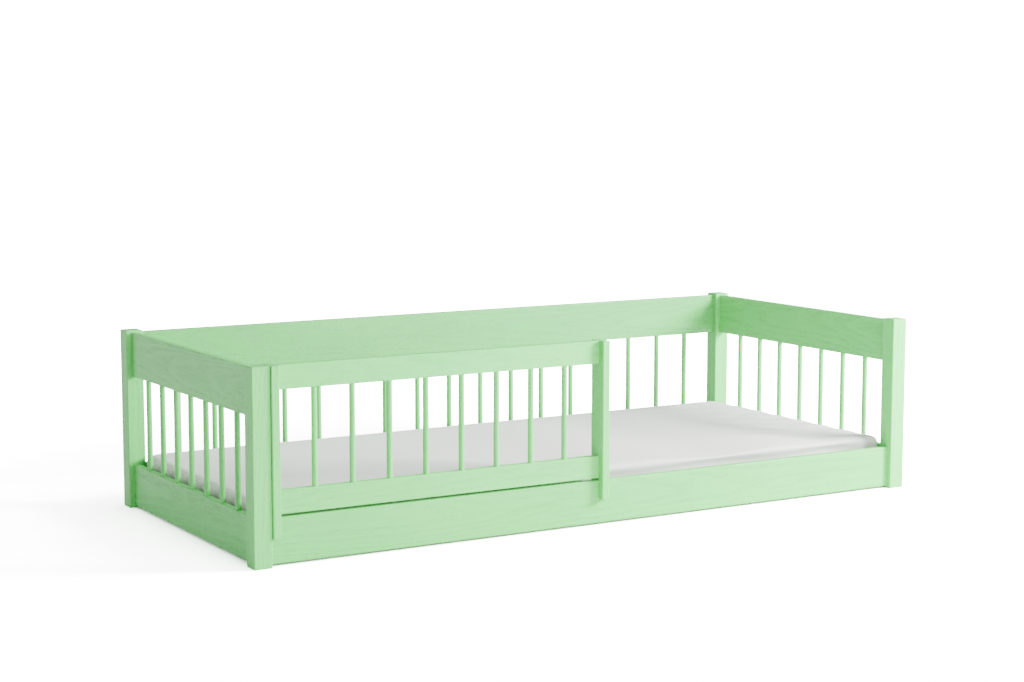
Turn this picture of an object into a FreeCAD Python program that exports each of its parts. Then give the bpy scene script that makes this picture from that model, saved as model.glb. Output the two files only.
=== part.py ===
import FreeCAD, Part
import math
import os

import Sketcher

# A toddler floor bed: two glued end frames, a back panel and a front rail on four square posts,
# a lift-off guard that straddles the front rail, a slatted base and a mattress.
# Millimetres. X runs along the bed, Y from the open front to the back, Z up.
# The origin is on the floor, under the middle of the bed.

document = FreeCAD.newDocument("toddler_floor_bed")

# ---------------------------------------------------------------- driving dimensions

driving_sizes = {
    # mattress
    "mattress_length": 1900.0,
    "mattress_width": 785.0,
    "mattress_edge_height": 88.0,
    "mattress_crown": 11.0,
    "mattress_edge_radius": 30.0,
    "mattress_base_radius": 10.0,
    "mattress_corner_radius": 48.0,
    "mattress_waist": 4.0,
    "mattress_end_gap": 5.0,
    "mattress_side_gap": 3.25,
    # posts and rails
    "post_width": 47.0,
    "post_height": 478.0,
    "rail_thickness": 19.0,
    "edge_radius": 2.5,
    "low_rail_height": 111.0,
    "low_rail_floor_gap": 6.0,
    "top_rail_height": 117.0,
    "top_rail_drop": 5.5,
    # glued corner joints of the end frames
    "rail_tenon_length": 24.0,
    "rail_tenon_thickness": 9.0,
    "rail_tenon_shoulder": 12.0,
    "tenon_end_gap": 0.5,
    "glue_gap": 0.1,
    # round spindles
    "spindle_diameter": 14.5,
    # lift-off guard
    "guard_length": 937.0,
    "guard_post_gap": 0.5,
    "guard_rail_gap": 6.0,
    "guard_low_rail_height": 58.0,
    "guard_top_rail_height": 59.0,
    "guard_tenon_length": 12.0,
    "guard_tenon_shoulder": 9.0,
    "upright_thickness": 21.0,
    "upright_depth": 56.0,
    "upright_overlap": 47.0,
    "slot_side_gap": 0.5,
    "slot_lead_in": 3.0,
    "rest_gap": 0.3,
    # slatted base
    "ledger_height": 18.0,
    "ledger_width": 20.0,
    "slat_width": 70.0,
    "slat_thickness": 15.0,
    "slat_end_gap": 2.0,
    "webbing_width": 22.0,
    "webbing_thickness": 0.8,
    "webbing_inset": 150.0,
    # hook joints of the long rails
    "plate_thickness": 2.5,
    "plate_width": 14.0,
    "hook_plate_height": 80.0,
    "catch_plate_height": 100.0,
    "hook_spacing": 44.0,
    "hook_width": 4.0,
    "hook_neck_height": 14.0,
    "hook_lip_thickness": 4.0,
    "hook_lip_drop": 10.0,
    "hook_cavity_depth": 8.0,
    "fitting_gap": 0.2,
}

end_spindle_count = 7
back_spindle_count = 17
guard_spindle_count = 8
slat_count = 14

sizes = document.addObject("Spreadsheet::Sheet", "sizes")
for row, (alias, value) in enumerate(driving_sizes.items(), start=1):
    sizes.set(f"A{row}", alias.replace("_", " "))
    sizes.set(f"B{row}", str(value))
    sizes.setAlias(f"B{row}", alias)
document.recompute()


def number(expression):
    """The value of an expression over the sheet's sizes, in millimetres."""
    value = sizes.evalExpression(str(expression))
    return float(getattr(value, "Value", value))


def cell(alias):
    return f"sizes.{alias}"


# ---------------------------------------------------------------- sizes worked out from them

guard_leg_inset = "((sizes.upright_depth - sizes.rail_thickness) / 2)"
inner_length = "(sizes.mattress_length + 2 * sizes.mattress_end_gap)"
inner_width = f"(sizes.mattress_width + 2 * sizes.mattress_side_gap + {guard_leg_inset})"
post_end_chamfer = "(sizes.edge_radius * 0.8)"
# the guard stands proud of the front posts, so the middle of the whole bed lies ahead of the
# middle between the rails by half of that
rails_middle_y = "(max(sizes.upright_depth - sizes.post_width; 0) / 4)"
rail_line_x = f"({inner_length} / 2 + sizes.rail_thickness / 2)"
rail_line_y = f"({inner_width} / 2 + sizes.rail_thickness / 2)"
long_rail_length = f"(2 * {rail_line_x} - sizes.post_width)"
end_rail_length = f"(2 * {rail_line_y} - sizes.post_width)"
low_rail_top = "(sizes.low_rail_floor_gap + sizes.low_rail_height)"
top_rail_bottom = "(sizes.post_height - sizes.top_rail_drop - sizes.top_rail_height)"
low_rail_middle = "(sizes.low_rail_floor_gap + sizes.low_rail_height / 2)"
top_rail_middle = f"({top_rail_bottom} + sizes.top_rail_height / 2)"
panel_spindle_length = f"({top_rail_bottom} - {low_rail_top})"
end_spindle_pitch = f"({end_rail_length} / {end_spindle_count + 1})"
back_spindle_pitch = f"({long_rail_length} / {back_spindle_count + 1})"

ledger_top = "(sizes.low_rail_floor_gap + sizes.ledger_height)"
slat_top = f"({ledger_top} + sizes.slat_thickness)"
slat_length = f"({inner_width} - 2 * sizes.slat_end_gap)"
slat_gap = f"(({inner_length} - {slat_count} * sizes.slat_width) / {slat_count + 1})"
slat_pitch = f"({slat_gap} + sizes.slat_width)"
ledger_length = f"({long_rail_length} - 2 * sizes.slat_end_gap)"
ledger_line_y = f"({inner_width} / 2 - sizes.ledger_width / 2)"
ledger_middle = "(sizes.low_rail_floor_gap + sizes.ledger_height / 2)"

guard_left_x = f"(sizes.post_width + sizes.guard_post_gap - {rail_line_x} - sizes.post_width / 2)"
guard_rail_length = "(sizes.guard_length - 2 * sizes.upright_thickness)"
guard_middle_x = f"({guard_left_x} + sizes.guard_length / 2)"
guard_low_rail_bottom = f"({low_rail_top} + sizes.guard_rail_gap)"
guard_low_rail_top = f"({guard_low_rail_bottom} + sizes.guard_low_rail_height)"
guard_top_rail_bottom = "(sizes.post_height - sizes.guard_top_rail_height)"
guard_low_rail_middle = f"({guard_low_rail_bottom} + sizes.guard_low_rail_height / 2)"
guard_top_rail_middle = f"({guard_top_rail_bottom} + sizes.guard_top_rail_height / 2)"
guard_spindle_length = f"({guard_top_rail_bottom} - {guard_low_rail_top})"
guard_spindle_pitch = f"({guard_rail_length} / {guard_spindle_count + 1})"
upright_bottom = f"({low_rail_top} - sizes.upright_overlap)"
upright_height = f"(sizes.post_height - {upright_bottom})"
slot_width = "(sizes.rail_thickness + 2 * sizes.slot_side_gap)"
slot_height = "(sizes.upright_overlap + sizes.rest_gap)"

# heights in a hook joint, measured from the middle of its rail; the hooks hang from their necks
hook_drop_room = "(sizes.hook_lip_drop + 2 * sizes.fitting_gap)"
hook_reach = "(sizes.plate_thickness + sizes.fitting_gap + sizes.hook_lip_thickness)"
hook_cavity_height = "(sizes.catch_plate_height - 4 * sizes.fitting_gap - 2 * sizes.plate_thickness)"
hook_cavity_width = "(sizes.hook_width + 2 * sizes.slot_side_gap)"

# ---------------------------------------------------------------- shared modelling steps

# for each side of a body: its origin plane, the way out of the body along the plane's normal,
# and whether a cut has to run along that normal to go into the wood
sides = {
    "+X": ("YZ_Plane", 1, False),
    "-X": ("YZ_Plane", -1, True),
    "+Y": ("XZ_Plane", -1, True),
    "-Y": ("XZ_Plane", 1, False),
    "+Z": ("XY_Plane", 1, False),
    "-Z": ("XY_Plane", -1, True),
}


def origin_feature(body, role):
    return next(item for item in body.Origin.OriginFeatures if item.Role == role)


def new_body(label):
    body = document.addObject("PartDesign::Body", label)
    body.Label = label
    return body


def new_sketch(body, name, plane, offset_x="0", offset_y="0", offset_z="0"):
    """A sketch on one of the body's origin planes, moved in the plane's own directions."""
    sketch = body.newObject("Sketcher::SketchObject", name)
    sketch.AttachmentSupport = [(origin_feature(body, plane), "")]
    sketch.MapMode = "FlatFace"
    for axis, expression in (("x", offset_x), ("y", offset_y), ("z", offset_z)):
        if expression != "0":
            sketch.setExpression(f"AttachmentOffset.Base.{axis}", expression)
    return sketch


def bind(sketch, constraint, name, expression):
    index = sketch.addConstraint(constraint)
    sketch.renameConstraint(index, name)
    sketch.setExpression(f"Constraints.{name}", expression)


def draw_closed(sketch, points):
    """Straight lines from point to point, joined at the corners and closed."""
    lines = []
    for start, end in zip(points, points[1:] + points[:1]):
        segment = Part.LineSegment(FreeCAD.Vector(*start, 0), FreeCAD.Vector(*end, 0))
        lines.append(sketch.addGeometry(segment))
    for line, following in zip(lines, lines[1:] + lines[:1]):
        sketch.addConstraint(Sketcher.Constraint("Coincident", line, 2, following, 1))
    return lines


def draw_rectangle(sketch, width, height):
    """A rectangle centred on the sketch's origin."""
    half_width = number(width) / 2
    half_height = number(height) / 2
    bottom, right, top, left = draw_closed(
        sketch,
        [
            (-half_width, -half_height),
            (half_width, -half_height),
            (half_width, half_height),
            (-half_width, half_height),
        ],
    )
    for line in (bottom, top):
        sketch.addConstraint(Sketcher.Constraint("Horizontal", line))
    for line in (left, right):
        sketch.addConstraint(Sketcher.Constraint("Vertical", line))
    sketch.addConstraint(Sketcher.Constraint("Symmetric", bottom, 1, top, 1, -1, 1))
    bind(sketch, Sketcher.Constraint("DistanceX", bottom, 1, bottom, 2, 2 * half_width), "width", width)
    bind(sketch, Sketcher.Constraint("DistanceY", right, 1, right, 2, 2 * half_height), "height", height)
    return bottom, right, top, left


def draw_rounded_rectangle(sketch, width, height, radius):
    """A centred rectangle with one radius at all four corners."""
    half_width = number(width) / 2
    half_height = number(height) / 2
    corner = number(radius)
    inner_x = half_width - corner
    inner_y = half_height - corner
    runs = [
        ((-inner_x, -half_height), (inner_x, -half_height)),
        ((half_width, -inner_y), (half_width, inner_y)),
        ((inner_x, half_height), (-inner_x, half_height)),
        ((-half_width, inner_y), (-half_width, -inner_y)),
    ]
    centres = [(inner_x, -inner_y), (inner_x, inner_y), (-inner_x, inner_y), (-inner_x, -inner_y)]
    lines = []
    arcs = []
    for (start, end), centre, quarter in zip(runs, centres, range(4)):
        segment = Part.LineSegment(FreeCAD.Vector(*start, 0), FreeCAD.Vector(*end, 0))
        lines.append(sketch.addGeometry(segment))
        circle = Part.Circle(FreeCAD.Vector(*centre, 0), FreeCAD.Vector(0, 0, 1), corner)
        first_angle = (quarter - 1) * math.pi / 2
        arcs.append(sketch.addGeometry(Part.ArcOfCircle(circle, first_angle, first_angle + math.pi / 2)))
    for index in range(4):
        sketch.addConstraint(Sketcher.Constraint("Tangent", lines[index], 2, arcs[index], 1))
        sketch.addConstraint(Sketcher.Constraint("Tangent", arcs[index], 2, lines[(index + 1) % 4], 1))
    for arc in arcs[1:]:
        sketch.addConstraint(Sketcher.Constraint("Equal", arcs[0], arc))
    bottom, right, top, left = lines
    sketch.addConstraint(Sketcher.Constraint("Horizontal", bottom))
    sketch.addConstraint(Sketcher.Constraint("Vertical", right))
    sketch.addConstraint(Sketcher.Constraint("Horizontal", top))
    sketch.addConstraint(Sketcher.Constraint("Vertical", left))
    sketch.addConstraint(Sketcher.Constraint("Symmetric", arcs[0], 3, arcs[2], 3, -1, 1))
    bind(sketch, Sketcher.Constraint("Radius", arcs[0], corner), "radius", radius)
    bind(sketch, Sketcher.Constraint("DistanceX", left, 1, right, 1, 2 * half_width), "width", width)
    bind(sketch, Sketcher.Constraint("DistanceY", bottom, 1, top, 1, 2 * half_height), "height", height)


def draw_circle(sketch, diameter):
    """A circle centred on the sketch's origin."""
    circle = Part.Circle(FreeCAD.Vector(0, 0, 0), FreeCAD.Vector(0, 0, 1), number(diameter) / 2)
    index = sketch.addGeometry(circle)
    sketch.addConstraint(Sketcher.Constraint("Coincident", index, 3, -1, 1))
    bind(sketch, Sketcher.Constraint("Diameter", index, number(diameter)), "diameter", diameter)


def add_pad(body, sketch, length, midplane=False):
    pad = body.newObject("PartDesign::Pad", sketch.Name + "_pad")
    pad.Profile = sketch
    pad.setExpression("Length", length)
    pad.Midplane = midplane
    return pad


def cut_from_side(body, side, name, surface, depth, draw, across="0", up="0"):
    """Cut what draw makes into one side of a body.

    surface is the distance from the body's origin to that side, across and up place the cut on it.
    """
    plane, way_out, along_normal = sides[side]
    document.recompute()
    volume_before = body.Shape.Volume
    sketch = new_sketch(body, name, plane, across, up, f"{way_out} * ({surface})")
    draw(sketch)
    pocket = body.newObject("PartDesign::Pocket", name + "_cut")
    pocket.Profile = sketch
    pocket.setExpression("Length", depth)
    pocket.Reversed = along_normal
    document.recompute()
    if body.Shape.Volume >= volume_before:
        raise RuntimeError(f"{body.Label}: {name} cut nothing")
    return pocket


def mirror_ends(body, feature, name):
    """Repeat a feature at the body's other end."""
    mirrored = body.newObject("PartDesign::Mirrored", name)
    mirrored.Originals = [feature]
    mirrored.MirrorPlane = (origin_feature(body, "YZ_Plane"), [""])
    body.Tip = mirrored
    return mirrored


def place(item, x="0", y="0", z="0", turn=0):
    """Move a piece to its place in the bed; turn is in degrees about Z.

    y is measured from the middle between the long rails, which lies a little behind the origin.
    """
    item.Placement = FreeCAD.Placement(
        FreeCAD.Vector(0, 0, 0), FreeCAD.Rotation(FreeCAD.Vector(0, 0, 1), turn)
    )
    for axis, expression in (("x", x), ("y", f"{y} + {rails_middle_y}"), ("z", z)):
        item.setExpression(f"Placement.Base.{axis}", expression)


# ---------------------------------------------------------------- boards, posts and spindles


def make_board(label, length, width, thickness):
    """A planed board along X with eased long edges, centred on its own origin."""
    body = new_body(label)
    section = new_sketch(body, label + "_section", "YZ_Plane")
    draw_rounded_rectangle(section, thickness, width, cell("edge_radius"))
    add_pad(body, section, length, midplane=True)
    return body


def add_end_tenons(body, length, tenon_length, tenon_height):
    """A stub tenon at each end, thinner and lower than the rail, so that shoulders close the joint."""
    sketch = new_sketch(body, body.Label + "_tenon", "YZ_Plane", offset_z=f"{length} / 2")
    draw_rectangle(sketch, cell("rail_tenon_thickness"), tenon_height)
    mirror_ends(body, add_pad(body, sketch, tenon_length), body.Label + "_tenons")


def cut_plate_recesses(body, length):
    """A shallow recess in each end of a long rail, which a hook plate fills."""
    recess = cut_from_side(
        body,
        "+X",
        body.Label + "_plate_recess",
        f"{length} / 2",
        cell("plate_thickness"),
        lambda sketch: draw_rectangle(
            sketch,
            "sizes.plate_width + 2 * sizes.fitting_gap",
            "sizes.hook_plate_height + 2 * sizes.fitting_gap",
        ),
    )
    mirror_ends(body, recess, body.Label + "_plate_recesses")


def make_post(label, x, y, turn, rail_side, panel_side, long_rail_middles):
    """A square post, mortised for the end rails and recessed for the long rails' catch plates."""
    body = new_body(label)
    section = new_sketch(body, label + "_section", "XY_Plane")
    draw_rounded_rectangle(section, cell("post_width"), cell("post_width"), cell("edge_radius"))
    block = add_pad(body, section, cell("post_height"))
    document.recompute()
    end_faces = [
        f"Face{index}"
        for index, face in enumerate(block.Shape.Faces, start=1)
        if abs(face.normalAt(0, 0).z) > 0.99
    ]
    chamfer = body.newObject("PartDesign::Chamfer", label + "_end_chamfers")
    chamfer.Base = (block, end_faces)
    chamfer.setExpression("Size", post_end_chamfer)
    surface = "sizes.post_width / 2"
    for name, middle, rail_height in (
        ("low", low_rail_middle, cell("low_rail_height")),
        ("top", top_rail_middle, cell("top_rail_height")),
    ):
        cut_from_side(
            body,
            panel_side,
            f"{label}_{name}_mortise",
            surface,
            "sizes.rail_tenon_length + sizes.tenon_end_gap",
            lambda sketch, rail_height=rail_height: draw_rectangle(
                sketch,
                "sizes.rail_tenon_thickness + 2 * sizes.glue_gap",
                f"{rail_height} - 2 * sizes.rail_tenon_shoulder + 2 * sizes.glue_gap",
            ),
            up=middle,
        )
    for index, middle in enumerate(long_rail_middles, start=1):
        for name, depth, width, height in (
            (
                "plate_recess",
                cell("plate_thickness"),
                "sizes.plate_width + 2 * sizes.fitting_gap",
                "sizes.catch_plate_height + 2 * sizes.fitting_gap",
            ),
            (
                "hook_cavity",
                "sizes.plate_thickness + sizes.hook_cavity_depth",
                hook_cavity_width,
                hook_cavity_height,
            ),
        ):
            cut_from_side(
                body,
                rail_side,
                f"{label}_{name}_{index}",
                surface,
                depth,
                lambda sketch, width=width, height=height: draw_rectangle(sketch, width, height),
                up=middle,
            )
    place(body, x, y, turn=turn)
    return body


def make_spindle(label, length, x, y, z):
    """A round spindle that stands on its rail and fills the height up to the rail above."""
    body = new_body(label)
    section = new_sketch(body, label + "_section", "XY_Plane")
    draw_circle(section, cell("spindle_diameter"))
    add_pad(body, section, length)
    place(body, x, y, z)
    return body


sub_parts = []

# ---------------------------------------------------------------- the four posts

quarter_turn = 90
for label, x_sign, y_sign, quarters in (
    ("front_left_post", "-", "-", 0),
    ("front_right_post", "", "-", 1),
    ("back_right_post", "", "", 2),
    ("back_left_post", "-", "", 3),
):
    # after an odd number of quarter turns the long rails meet the side that was +Y before it
    rail_side, panel_side = ("+X", "+Y") if quarters % 2 == 0 else ("+Y", "+X")
    long_rail_middles = [low_rail_middle]
    if y_sign == "":
        long_rail_middles.append(top_rail_middle)
    sub_parts.append(
        make_post(
            label,
            x_sign + rail_line_x,
            y_sign + rail_line_y,
            quarters * quarter_turn,
            rail_side,
            panel_side,
            long_rail_middles,
        )
    )

# ---------------------------------------------------------------- the long rails

for label, y, middle, rail_height in (
    ("front_rail", "-" + rail_line_y, low_rail_middle, cell("low_rail_height")),
    ("back_low_rail", rail_line_y, low_rail_middle, cell("low_rail_height")),
    ("back_top_rail", rail_line_y, top_rail_middle, cell("top_rail_height")),
):
    rail = make_board(label, long_rail_length, rail_height, cell("rail_thickness"))
    cut_plate_recesses(rail, long_rail_length)
    place(rail, "0", y, middle)
    sub_parts.append(rail)

# ---------------------------------------------------------------- the end frames' rails

for end, x_sign in (("left", "-"), ("right", "")):
    for label, middle, rail_height in (
        (f"{end}_end_low_rail", low_rail_middle, cell("low_rail_height")),
        (f"{end}_end_top_rail", top_rail_middle, cell("top_rail_height")),
    ):
        rail = make_board(label, end_rail_length, rail_height, cell("rail_thickness"))
        add_end_tenons(
            rail,
            end_rail_length,
            cell("rail_tenon_length"),
            f"{rail_height} - 2 * sizes.rail_tenon_shoulder",
        )
        place(rail, x_sign + rail_line_x, "0", middle, quarter_turn)
        sub_parts.append(rail)

# ---------------------------------------------------------------- the spindles of the three panels


def row_position(pitch, count, index):
    """The place of one piece in a row that is centred on zero."""
    return f"{pitch} * {index - (count - 1) / 2}"


for end, x_sign in (("left", "-"), ("right", "")):
    for index in range(end_spindle_count):
        sub_parts.append(
            make_spindle(
                f"{end}_end_spindle_{index + 1}",
                panel_spindle_length,
                x_sign + rail_line_x,
                row_position(end_spindle_pitch, end_spindle_count, index),
                low_rail_top,
            )
        )

back_spindles = document.addObject("Part::Compound", "back_spindles")
back_spindles.Label = "back_spindles"
back_spindles.Links = [
    make_spindle(
        f"back_spindle_{index + 1}",
        panel_spindle_length,
        row_position(back_spindle_pitch, back_spindle_count, index),
        rail_line_y,
        low_rail_top,
    )
    for index in range(back_spindle_count)
]
sub_parts.append(back_spindles)

# ---------------------------------------------------------------- the lift-off guard


def make_upright(label, x, inner_side):
    """A guard upright whose foot is slotted to straddle the front rail."""
    body = new_body(label)
    depth = cell("upright_depth")
    half_depth = number(depth) / 2
    half_slot = number(slot_width) / 2
    height = number(upright_height)
    slot_top = number(slot_height)
    lead_in = number(cell("slot_lead_in"))
    sketch = new_sketch(body, label + "_side_view", "YZ_Plane")
    lines = draw_closed(
        sketch,
        [
            (-half_depth, 0),
            (-half_slot - lead_in, 0),
            (-half_slot, lead_in),
            (-half_slot, slot_top),
            (half_slot, slot_top),
            (half_slot, lead_in),
            (half_slot + lead_in, 0),
            (half_depth, 0),
            (half_depth, height),
            (-half_depth, height),
        ],
    )
    front_foot, front_lead, front_wall, slot_roof, back_wall, back_lead, back_foot, back, top, front = lines
    for line in (front_foot, back_foot, top):
        sketch.addConstraint(Sketcher.Constraint("Horizontal", line))
    for line in (front_wall, back_wall, back, front):
        sketch.addConstraint(Sketcher.Constraint("Vertical", line))
    sketch.addConstraint(Sketcher.Constraint("Symmetric", front_foot, 1, back_foot, 2, -1, 1))
    sketch.addConstraint(Sketcher.Constraint("Symmetric", slot_roof, 1, slot_roof, 2, -2))
    sketch.addConstraint(Sketcher.Constraint("Symmetric", front_foot, 2, back_foot, 1, -2))
    sketch.addConstraint(Sketcher.Constraint("Equal", front_lead, back_lead))
    bind(sketch, Sketcher.Constraint("DistanceX", top, 2, top, 1, 2 * half_depth), "depth", depth)
    bind(sketch, Sketcher.Constraint("DistanceY", back, 1, back, 2, height), "height", upright_height)
    bind(sketch, Sketcher.Constraint("DistanceX", slot_roof, 1, slot_roof, 2, 2 * half_slot), "slot_width",
         slot_width)
    bind(sketch, Sketcher.Constraint("DistanceY", -1, 1, slot_roof, 1, slot_top), "slot_height", slot_height)
    bind(sketch, Sketcher.Constraint("DistanceY", front_lead, 1, front_lead, 2, lead_in), "lead_in",
         cell("slot_lead_in"))
    bind(sketch, Sketcher.Constraint("DistanceX", front_lead, 1, front_lead, 2, lead_in), "lead_in_width",
         cell("slot_lead_in"))
    block = add_pad(body, sketch, cell("upright_thickness"), midplane=True)
    document.recompute()
    eased_edges = [
        f"Edge{index}"
        for index, edge in enumerate(block.Shape.Edges, start=1)
        if abs(abs(edge.CenterOfMass.y) - half_depth) < 0.01 and edge.BoundBox.ZLength > height / 2
    ]
    eased = body.newObject("PartDesign::Fillet", label + "_eased_edges")
    eased.Base = (block, eased_edges)
    eased.setExpression("Radius", cell("edge_radius"))
    for name, middle, rail_height in (
        ("low", guard_low_rail_middle, cell("guard_low_rail_height")),
        ("top", guard_top_rail_middle, cell("guard_top_rail_height")),
    ):
        cut_from_side(
            body,
            inner_side,
            f"{label}_{name}_mortise",
            "sizes.upright_thickness / 2",
            "sizes.guard_tenon_length + sizes.tenon_end_gap",
            lambda sketch, rail_height=rail_height: draw_rectangle(
                sketch,
                "sizes.rail_tenon_thickness + 2 * sizes.glue_gap",
                f"{rail_height} - 2 * sizes.guard_tenon_shoulder + 2 * sizes.glue_gap",
            ),
            up=f"{middle} - {upright_bottom}",
        )
    place(body, x, "-" + rail_line_y, upright_bottom)
    return body


for label, way, inner_side in (("guard_left_upright", "-", "+X"), ("guard_right_upright", "+", "-X")):
    upright_x = f"{guard_middle_x} {way} ({guard_rail_length} + sizes.upright_thickness) / 2"
    sub_parts.append(make_upright(label, upright_x, inner_side))

for label, middle, rail_height in (
    ("guard_low_rail", guard_low_rail_middle, cell("guard_low_rail_height")),
    ("guard_top_rail", guard_top_rail_middle, cell("guard_top_rail_height")),
):
    rail = make_board(label, guard_rail_length, rail_height, cell("rail_thickness"))
    add_end_tenons(
        rail,
        guard_rail_length,
        cell("guard_tenon_length"),
        f"{rail_height} - 2 * sizes.guard_tenon_shoulder",
    )
    place(rail, guard_middle_x, "-" + rail_line_y, middle)
    sub_parts.append(rail)

for index in range(guard_spindle_count):
    sub_parts.append(
        make_spindle(
            f"guard_spindle_{index + 1}",
            guard_spindle_length,
            f"{guard_middle_x} + {row_position(guard_spindle_pitch, guard_spindle_count, index)}",
            "-" + rail_line_y,
            guard_low_rail_top,
        )
    )

# ---------------------------------------------------------------- the slatted base


def group(label, items):
    """Identical small pieces as one sub-part of separate solids."""
    compound = document.addObject("Part::Compound", label)
    compound.Label = label
    compound.Links = items
    sub_parts.append(compound)


for side_name, y_sign in (("front", "-"), ("back", "")):
    ledger = make_board(f"{side_name}_ledger", ledger_length, cell("ledger_height"), cell("ledger_width"))
    place(ledger, "0", y_sign + ledger_line_y, ledger_middle)
    sub_parts.append(ledger)

for index in range(slat_count):
    slat = make_board(f"slat_{index + 1}", slat_length, cell("slat_thickness"), cell("slat_width"))
    slat_x = row_position(slat_pitch, slat_count, index)
    place(slat, slat_x, "0", f"{ledger_top} + sizes.slat_thickness / 2", quarter_turn)
    sub_parts.append(slat)

webbing_strips = []
for side_name, y_sign in (("front", "-"), ("back", "")):
    strip = document.addObject("Part::Box", f"{side_name}_webbing_strip")
    strip.setExpression("Length", f"{slat_pitch} * {slat_count - 1} + sizes.slat_width")
    strip.setExpression("Width", cell("webbing_width"))
    strip.setExpression("Height", cell("webbing_thickness"))
    place(
        strip,
        f"-({slat_pitch} * {slat_count - 1} + sizes.slat_width) / 2",
        f"{y_sign}({inner_width} / 2 - sizes.webbing_inset) - sizes.webbing_width / 2",
        f"{ledger_top} - sizes.webbing_thickness",
    )
    webbing_strips.append(strip)
group("slat_webbing", webbing_strips)

# ---------------------------------------------------------------- the hook joints of the long rails


def joint_block(label, way, y, near, far, width, low, high):
    """A box at one end of a long rail; near and far are measured from the joint into the post."""
    block = document.addObject("Part::Box", label)
    block.setExpression("Length", f"({far}) - ({near})")
    block.setExpression("Width", width)
    block.setExpression("Height", f"({high}) - ({low})")
    x = f"{long_rail_length} / 2 + ({near})" if way > 0 else f"-{long_rail_length} / 2 - ({far})"
    place(block, x, f"{y} - {width} / 2", low)
    return block


def make_hook_plate(label, way, y, middle):
    """A steel plate in the rail's end with two hooks that reach into the post and hang there."""
    half_height = "sizes.hook_plate_height / 2"
    parts = [
        joint_block(
            label + "_plate",
            way,
            y,
            "-sizes.plate_thickness",
            "0",
            cell("plate_width"),
            f"{middle} - {half_height}",
            f"{middle} + {half_height}",
        )
    ]
    for name, sign in (("upper", "+"), ("lower", "-")):
        neck_bottom = f"{middle} {sign} sizes.hook_spacing / 2 - sizes.hook_neck_height / 2"
        neck_top = f"{neck_bottom} + sizes.hook_neck_height"
        for piece, near, low in (
            ("neck", "0", neck_bottom),
            ("lip", f"{hook_reach} - sizes.hook_lip_thickness", f"{neck_bottom} - sizes.hook_lip_drop"),
        ):
            parts.append(
                joint_block(
                    f"{label}_{name}_{piece}", way, y, near, hook_reach, cell("hook_width"), low, neck_top
                )
            )
    plate = document.addObject("Part::MultiFuse", label)
    plate.Shapes = parts
    plate.Refine = True
    return plate


def make_catch_plate(label, way, y, middle):
    """A steel plate in the post with two slots, tall enough to let the hooks in above their seats."""
    half_height = "sizes.catch_plate_height / 2"
    plate = joint_block(
        label + "_plate",
        way,
        y,
        "0",
        cell("plate_thickness"),
        cell("plate_width"),
        f"{middle} - {half_height}",
        f"{middle} + {half_height}",
    )
    slots = []
    for name, sign in (("upper", "+"), ("lower", "-")):
        neck_bottom = f"{middle} {sign} sizes.hook_spacing / 2 - sizes.hook_neck_height / 2"
        slots.append(
            joint_block(
                f"{label}_{name}_slot",
                way,
                y,
                "-sizes.plate_thickness",
                "2 * sizes.plate_thickness",
                hook_cavity_width,
                f"{neck_bottom} - sizes.fitting_gap",
                f"{neck_bottom} + sizes.hook_neck_height + {hook_drop_room}",
            )
        )
    both_slots = document.addObject("Part::MultiFuse", label + "_slots")
    both_slots.Shapes = slots
    catch = document.addObject("Part::Cut", label)
    catch.Base = plate
    catch.Tool = both_slots
    return catch


hook_plates = []
catch_plates = []
for rail_name, y, middle in (
    ("front_rail", "-" + rail_line_y, low_rail_middle),
    ("back_low_rail", rail_line_y, low_rail_middle),
    ("back_top_rail", rail_line_y, top_rail_middle),
):
    for end, way in (("left", -1), ("right", 1)):
        hook_plates.append(make_hook_plate(f"{rail_name}_{end}_hook_plate", way, y, middle))
        catch_plates.append(make_catch_plate(f"{rail_name}_{end}_catch_plate", way, y, middle))
group("hook_plates", hook_plates)
group("catch_plates", catch_plates)

# ---------------------------------------------------------------- the mattress


def corner_recess(distance, radius):
    """How far a rounded corner has drawn back at a distance from the end, for a quarter circle."""
    if distance >= radius:
        return 0.0
    return radius - math.sqrt(radius**2 - (radius - distance) ** 2)


def mattress_section(x, end_distance, waist):
    """One closed section across the mattress: flat base, rounded sides and a crowned top."""
    edge_radius = number(cell("mattress_edge_radius"))
    base_radius = number(cell("mattress_base_radius"))
    corner_radius = number(cell("mattress_corner_radius"))
    half_width = number(cell("mattress_width")) / 2 - corner_recess(end_distance, corner_radius) - waist
    base = corner_recess(end_distance, base_radius)
    edge = number(cell("mattress_edge_height")) - corner_recess(end_distance, edge_radius)
    crown = edge + number(cell("mattress_crown")) * min(1.0, end_distance / (6 * edge_radius))
    crown = max(crown, edge + 1.0)
    diagonal = math.sqrt(0.5)

    def at(y, z):
        return FreeCAD.Vector(x, y, z)

    def corner(side, from_y, from_z, to_y, to_z, centre_y, centre_z, radius, up):
        middle = at(side * (centre_y + diagonal * radius), centre_z + up * diagonal * radius)
        return Part.Arc(at(side * from_y, from_z), middle, at(side * to_y, to_z)).toShape()

    top_y = half_width - edge_radius
    base_y = half_width - base_radius
    side_top = edge - edge_radius
    side_base = base + base_radius
    edges = [
        Part.LineSegment(at(-base_y, base), at(base_y, base)).toShape(),
        corner(1, base_y, base, half_width, side_base, base_y, side_base, base_radius, -1),
        Part.LineSegment(at(half_width, side_base), at(half_width, side_top)).toShape(),
        corner(1, half_width, side_top, top_y, edge, top_y, side_top, edge_radius, 1),
        Part.Arc(at(top_y, edge), at(0, crown), at(-top_y, edge)).toShape(),
        corner(-1, top_y, edge, half_width, side_top, top_y, side_top, edge_radius, 1),
        Part.LineSegment(at(-half_width, side_top), at(-half_width, side_base)).toShape(),
        corner(-1, half_width, side_base, base_y, base, base_y, side_base, base_radius, -1),
    ]
    return Part.Wire(edges)


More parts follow.
